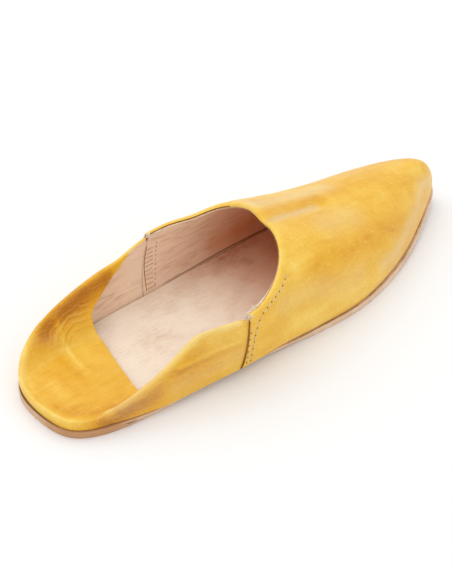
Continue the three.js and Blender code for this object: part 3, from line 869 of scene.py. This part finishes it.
def on_leather(upper, guess):
    """The nearest place on the upper, in metres, and the way out of the leather there."""
    _, place, normal, _ = upper.closest_point_on_mesh(Vector(guess) * MM)
    return place, normal


def spaced(path, pitch):
    """Points along a path at an even pitch, with the direction there."""
    points = np.array(path, float)
    steps = np.linalg.norm(np.diff(points, axis=0), axis=1)
    run = np.concatenate([[0], np.cumsum(steps)])
    count = max(int(round(run[-1] / pitch)), 1)
    marks = (np.arange(count) + 0.5) * run[-1] / count

    def along(distances):
        return np.stack([np.interp(distances, run, points[:, i]) for i in range(3)], axis=1)

    return zip(along(marks), along(marks + 0.1) - along(marks - 0.1))


def lay(place, normal, along, scale=(1, 1, 1)):
    """A placement with X along the row and Z out of the leather."""
    z = normal.normalized()
    x = (Vector(along) - Vector(along).dot(z) * z).normalized()
    turned = Matrix((x, z.cross(x), z)).transposed().to_4x4()
    return Matrix.Translation(place) @ turned @ Matrix.Diagonal((*scale, 1))


def rim_height(places, x, side):
    near_x = np.abs(places[:, 0] - x) < RIM_REACH
    return places[near_x & (places[:, 1] * side > RIM_OFF_MIDDLE)][:, 2].max()


def outside_row(upper, places, row, side):
    """A row of stitches given for the outer side, as places on either side's outer face. On the higher
    inner side it keeps its share of the rim's height."""
    path = []
    for x, z in row:
        height = z - SEAM_FOOT[1]
        if side == INNER_SIDE:
            rise = rim_height(places, x, INNER_SIDE) - SEAM_FOOT[1]
            height *= rise / (rim_height(places, x, OUTER_SIDE) - SEAM_FOOT[1])
        start = Vector((x, side * OUTSIDE, SEAM_FOOT[1] + height)) * MM
        hit, place, _, _ = upper.ray_cast(start, Vector((0, -side, 0)))
        if hit:
            path.append(tuple(place / MM))
    return path


def make_seam_stitching(upper, recess_shade):
    """Two rows of stitches beside each side seam, the front one running on along the rim."""
    places = vertex_places(upper)
    stitches, holes = [], []
    for side in (OUTER_SIDE, INNER_SIDE):
        for row in (RIM_ROW, SEAM_ROW):
            for guess, along in spaced(outside_row(upper, places, row, side), STITCH_PITCH):
                place, normal = on_leather(upper, guess)
                stitches.append(lay(place + normal * STITCH_RISE * MM, normal, along))
                half_way = along / np.linalg.norm(along) * STITCH_PITCH / 2
                hole, normal = on_leather(upper, guess + half_way)
                holes.append(lay(hole - normal * HOLE_SINK * MM, normal, along))
    place_copies(make_stitch(), stitches, "seam_stitches", linen_thread())
    place_copies(make_hole(), holes, "needle_holes", recess_shade)


# Inside, the quarter's lining laps the vamp's at the seam, held by long whip stitches and a row of
# tacks.
WHIP_FROM, WHIP_TO = -43.6, -38.2
WHIP_LEVELS = np.arange(7.5, 29.5, 2.35)
WHIP_SWAY = 0.5
WHIP_RISE = 0.05
WHIP_SIZE = 0.62
TACK_ROW = [(-37.2, 32.2), (-36.9, 23.1), (-37.0, 14.8), (-38.4, 6.8)]
TACK_PITCH = 2.6
TACK_RISE = 0.06
TACK_SIZE = (0.62, 0.8, 0.8)
LAP_LINE = [(-42.6, 32.0), (-43.5, 23.4), (-43.8, 20.1), (-43.7, 11.2), (-43.8, 6.2)]
LAP_PITCH = 2.0
LAP_RISE = 0.02
LAP_RADIUS = 0.2
# The outer side is lower, so its whip stitches and rows end lower too.
OUTER_WHIPS_TO = 26
OUTER_ROWS_TO = 30


def inside_wall(upper, x, z, side):
    """A place on the inner face of a side wall."""
    _, place, normal, _ = upper.ray_cast(Vector((x, 0, z)) * MM, Vector((0, side, 0)))
    return place, normal


def below_rim(row, side):
    return [(x, z) for x, z in row if side == INNER_SIDE or z < OUTER_ROWS_TO]


def make_whip_stitches(upper):
    whips = []
    draw = random.Random(7)
    for side in (OUTER_SIDE, INNER_SIDE):
        for level in WHIP_LEVELS:
            if side == OUTER_SIDE and level > OUTER_WHIPS_TO:
                continue
            tilt = draw.uniform(-WHIP_SWAY, WHIP_SWAY)
            end_x = WHIP_TO + draw.uniform(-WHIP_SWAY, WHIP_SWAY)
            start, normal = inside_wall(upper, WHIP_FROM, level + tilt, side)
            end, _ = inside_wall(upper, end_x, level - tilt, side)
            middle = (start + end) / 2 + normal * WHIP_RISE * MM
            length = (end - start).length / MM / STITCH_LENGTH
            whips.append(lay(middle, normal, end - start, (length, WHIP_SIZE, WHIP_SIZE)))
        row = below_rim(TACK_ROW, side)
        path = [tuple(inside_wall(upper, x, z, side)[0] / MM) for x, z in row]
        for guess, along in spaced(path, TACK_PITCH):
            place, normal = on_leather(upper, guess)
            whips.append(lay(place + normal * TACK_RISE * MM, normal, along, TACK_SIZE))
    place_copies(make_stitch(), whips, "whip_stitches", tan_thread())


def make_line(name, path, radii, material):
    """A fine round strip along a path, as wide as the radii say, made from a curve."""
    line = bpy.data.curves.new(name, "CURVE")
    line.dimensions = "3D"
    line.bevel_depth = MM
    line.bevel_resolution = 1
    line.use_fill_caps = True
    spline = line.splines.new("POLY")
    spline.points.add(len(path) - 1)
    for point, place, radius in zip(spline.points, path, radii):
        point.co = (*(Vector(place) * MM), 1)
        point.radius = radius
    piece = bpy.data.objects.new(name, line)
    bpy.context.collection.objects.link(piece)
    pick(piece)
    bpy.ops.object.convert(target="MESH")
    piece = bpy.context.object
    bpy.ops.object.shade_smooth()
    finish_small(piece, material)


def make_lap_lines(upper, cut_edge):
    """The dark edge of the lap inside each seam."""
    for side, name in ((OUTER_SIDE, "outer_lap"), (INNER_SIDE, "inner_lap")):
        path = []
        for guess, _ in spaced([(x, 0, z) for x, z in below_rim(LAP_LINE, side)], LAP_PITCH):
            place, normal = inside_wall(upper, guess[0], guess[2], side)
            path.append(tuple(place / MM + normal * LAP_RISE))
        make_line(name, path, [LAP_RADIUS] * len(path), cut_edge)


# The lining's raw edge lies under the rim, and at the outer side's seam it stands above it.
EDGE_SWAY = 0.12
EDGE_OUT = 0.1
EDGE_UNDER = -0.35
OUTER_EDGE_RISE = ([-30, -20], [0.45, EDGE_UNDER])
EDGE_STATIONS = [-45, -34, -26, -12, 0]
OUTER_EDGE_RADII = (EDGE_STATIONS, [0.6, 0.5, 0.2, 0.04, 0.02])
INNER_EDGE_RADII = (EDGE_STATIONS, [0.32, 0.3, 0.28, 0.18, 0.02])


def make_lining_edge(upper, fibre):
    """The pale raw edge of the vamp's lining, showing at the rim."""
    draw = random.Random(11)
    path = []
    for guess in rim_inside(upper):
        place, normal = on_leather(upper, guess)
        rise = draw.uniform(-EDGE_SWAY, EDGE_SWAY)
        rise += float(np.interp(guess[0], *OUTER_EDGE_RISE)) if guess[1] < 0 else EDGE_UNDER
        path.append(tuple(place / MM + normal * EDGE_OUT + Vector((0, 0, rise))))
    radii = [
        float(np.interp(x, *(OUTER_EDGE_RADII if y < 0 else INNER_EDGE_RADII))) for x, y, _ in path
    ]
    make_line("lining_edge", path, radii, fibre)


# Dark lines of painted shadow: in the open joint between upper and sole, in a slit in the sole's edge,
# and in the corner of the lining on the insole. Radii change along them.
LINE_OUT = 0.1
SOLE_MIDDLE = 4.0
FOOT_REACH = 1.5
FOOT_BAND = 1.2
SOLE_STATIONS = np.arange(-17.0, 118.0, 3.0)
SOLE_RADII = (0.03, 0.13)
HEEL_MIDDLE = np.array((-100.0, 0.0))
HEEL_FOOT = 5.0
HEEL_REACH = 3
HEEL_ANGLES = np.arange(148.0, 212.0, 4.0)
HEEL_RADII = ([148, 160, 180, 208], [0.1, 0.3, 0.22, 0.04])
SOLE_SLIT = [(-106.5, -29.1, 2.5), (-102.5, -29.9, 2.2), (-96.8, -30.6, 1.8)]
SLIT_RADII = [0.1, 0.35, 0.12]
INSOLE_TOP = 5.7
CORNER_RISE = 0.15
CORNER_STATIONS = np.arange(-34.0, 70.0, 4.0)
CORNER_RADII = ([-34, -10, 20], [0.04, 0.14, 0.3])


def foot_line(upper):
    """Places along the foot of the upper's outer side, where it meets the sole."""
    places = vertex_places(upper)
    path = []
    for x in SOLE_STATIONS:
        near = places[(np.abs(places[:, 0] - x) < FOOT_REACH) & (places[:, 1] < SOLE_MIDDLE)]
        lowest = near[:, 2].min()
        outermost = near[near[:, 2] < lowest + FOOT_BAND][:, 1].min()
        path.append((x, outermost - LINE_OUT, lowest - LINE_OUT))
    return path


def heel_line(upper):
    """Places along the foot of the upper round the heel."""
    places = vertex_places(upper)
    low = places[places[:, 2] < HEEL_FOOT]
    reach = low[:, :2] - HEEL_MIDDLE
    around = np.degrees(np.arctan2(reach[:, 1], reach[:, 0])) % 360
    path = []
    for angle in HEEL_ANGLES:
        near = np.abs(around - angle) < HEEL_REACH
        farthest = np.linalg.norm(reach[near], axis=1).max() + LINE_OUT
        out = np.array((math.cos(math.radians(angle)), math.sin(math.radians(angle))))
        path.append((*(HEEL_MIDDLE + out * farthest), low[near][:, 2].min()))
    return path


def corner_line(upper):
    """Places along the foot of the inner side's lining."""
    path = []
    for x in CORNER_STATIONS:
        place, normal = inside_wall(upper, x, INSOLE_TOP + CORNER_RISE, INNER_SIDE)
        path.append(tuple(place / MM + normal * LINE_OUT))
    return path


# Painted shadow: dark strips laid in the gaps at the sole and in the lining's corner
def make_painted_shadow_lines(upper, dark, cut_edge):
    draw = random.Random(5)
    radii = [draw.uniform(*SOLE_RADII) for _ in SOLE_STATIONS]
    make_line("sole_gap_shadow", foot_line(upper), radii, cut_edge)
    make_line("heel_gap_shadow", heel_line(upper), graded(HEEL_ANGLES, HEEL_RADII), dark)
    make_line("sole_slit_shadow", SOLE_SLIT, SLIT_RADII, dark)
    corner = corner_line(upper)
    radii = graded([x for x, _, _ in corner], CORNER_RADII)
    make_line("lining_corner_shade", corner, radii, cut_edge)


# Frayed ends: middle of the tuft, how far it spreads, number of fibres.
TUFTS = [
    ((-43.3, -36.2, 32.2), (0.9, 0.6, 0.9), 70),
    ((-38.0, -34.4, 33.3), (2.8, 0.4, 0.3), 26),
    ((-42.4, 31.6, 36.8), (0.9, 0.4, 0.6), 30),
    ((-37.5, 30.8, 37.6), (2.6, 0.3, 0.3), 22),
]
TUFT_SPREAD = 0.6
# A fibre starts straight, then bends over in steps.
FIBRE_RADII = (0.2, 0.09)
FIBRE_STRAIGHT = 0.8
FIBRE_STEP = 0.4
FIBRE_BENDS = (0.35, 0.6)
FIBRE_TAPER = 0.7
FIBRE_END_FACING = 0.6
FIBRE_SIZES = (0.7, 1.5)
# How fibres lean away from the leather's normal: how much, the spread sideways, and the mean and spread
# upwards.
FIBRE_LEAN = 0.6
LEAN_SIDEWAYS = 0.8
LEAN_UPWARD = (0.6, 0.5)


def make_fibre():
    """One loose fibre, tapering and bent over."""
    bpy.ops.object.select_all(action="DESELECT")
    foot, tip = FIBRE_RADII
    bpy.ops.mesh.primitive_cone_add(
        vertices=4,
        radius1=foot * MM,
        radius2=tip * MM,
        depth=FIBRE_STRAIGHT * MM,
        location=(0, 0, FIBRE_STRAIGHT / 2 * MM),
    )
    fibre = bpy.context.object
    bpy.ops.object.transform_apply(location=True, rotation=False, scale=False)
    for bend in FIBRE_BENDS:
        edit_faces(fibre, (0, 0, 1), FIBRE_END_FACING)
        move = (bend * MM, 0, FIBRE_STEP * MM)
        bpy.ops.mesh.extrude_region_move(TRANSFORM_OT_translate={"value": move})
        bpy.ops.transform.resize(value=(FIBRE_TAPER, FIBRE_TAPER, FIBRE_TAPER))
        leave_edit()
    return fibre


def make_frayed_ends(upper, fibre):
    draw = random.Random(23)
    placements = []
    for middle, spread, count in TUFTS:
        for _ in range(count):
            guess = [m + draw.gauss(0, s * TUFT_SPREAD) for m, s in zip(middle, spread)]
            place, normal = on_leather(upper, guess)
            sideways = [draw.gauss(0, LEAN_SIDEWAYS) for _ in range(2)]
            lean = Vector((*sideways, draw.gauss(*LEAN_UPWARD)))
            size = draw.uniform(*FIBRE_SIZES)
            spin = Vector([draw.gauss(0, 1) for _ in range(3)])
            placements.append(lay(place, normal + lean * FIBRE_LEAN, spin, (size, size, size)))
    place_copies(make_fibre(), placements, "frayed_ends", fibre)


def make_camera():
    bpy.ops.object.camera_add(location=Vector(CAMERA_PLACE) * MM)
    camera = bpy.context.object
    turn = Euler((math.radians(90 - CAMERA_DOWN), 0, math.radians(-CAMERA_TURN))).to_matrix()
    roll = Matrix.Rotation(math.radians(CAMERA_ROLL), 3, "Z")
    camera.rotation_euler = (turn @ roll).to_euler()
    camera.data.lens = CAMERA_LENS
    camera.data.sensor_width = CAMERA_SENSOR
    camera.data.clip_start = CAMERA_NEAREST * MM
    bpy.context.scene.camera = camera


def make_stage():
    bpy.ops.object.select_all(action="DESELECT")
    bpy.ops.mesh.primitive_plane_add(size=FLOOR_SIZE * MM)
    floor = bpy.context.object
    floor.name = "floor"
    floor.data.materials.append(floor_paper())
    world = bpy.data.worlds.new("studio")
    bpy.context.scene.world = world
    world.use_nodes = True
    room = world.node_tree.nodes["Background"].inputs
    room["Color"].default_value = (1, 1, 1, 1)
    room["Strength"].default_value = ROOM_STRENGTH
    bpy.ops.object.light_add(type="AREA", location=Vector(LAMP_PLACE) * MM)
    lamp = bpy.context.object
    lamp.data.size = LAMP_SIZE * MM
    lamp.data.energy = LAMP_WATTS
    lamp.rotation_euler = (-lamp.location).to_track_quat("-Z", "Y").to_euler()
    bpy.context.scene.view_settings.view_transform = "Standard"


make_camera()
make_stage()
cut_edge = cut_edge_leather()
recess_shade = painted_recess_shade()
fibre = raw_fibre()
upper = make_upper(cut_edge)
make_insole()
make_outsole()
make_seam_stitching(upper, recess_shade)
make_whip_stitches(upper)
make_lap_lines(upper, cut_edge)
make_lining_edge(upper, fibre)
make_frayed_ends(upper, fibre)
make_painted_shadow_lines(upper, recess_shade, cut_edge)
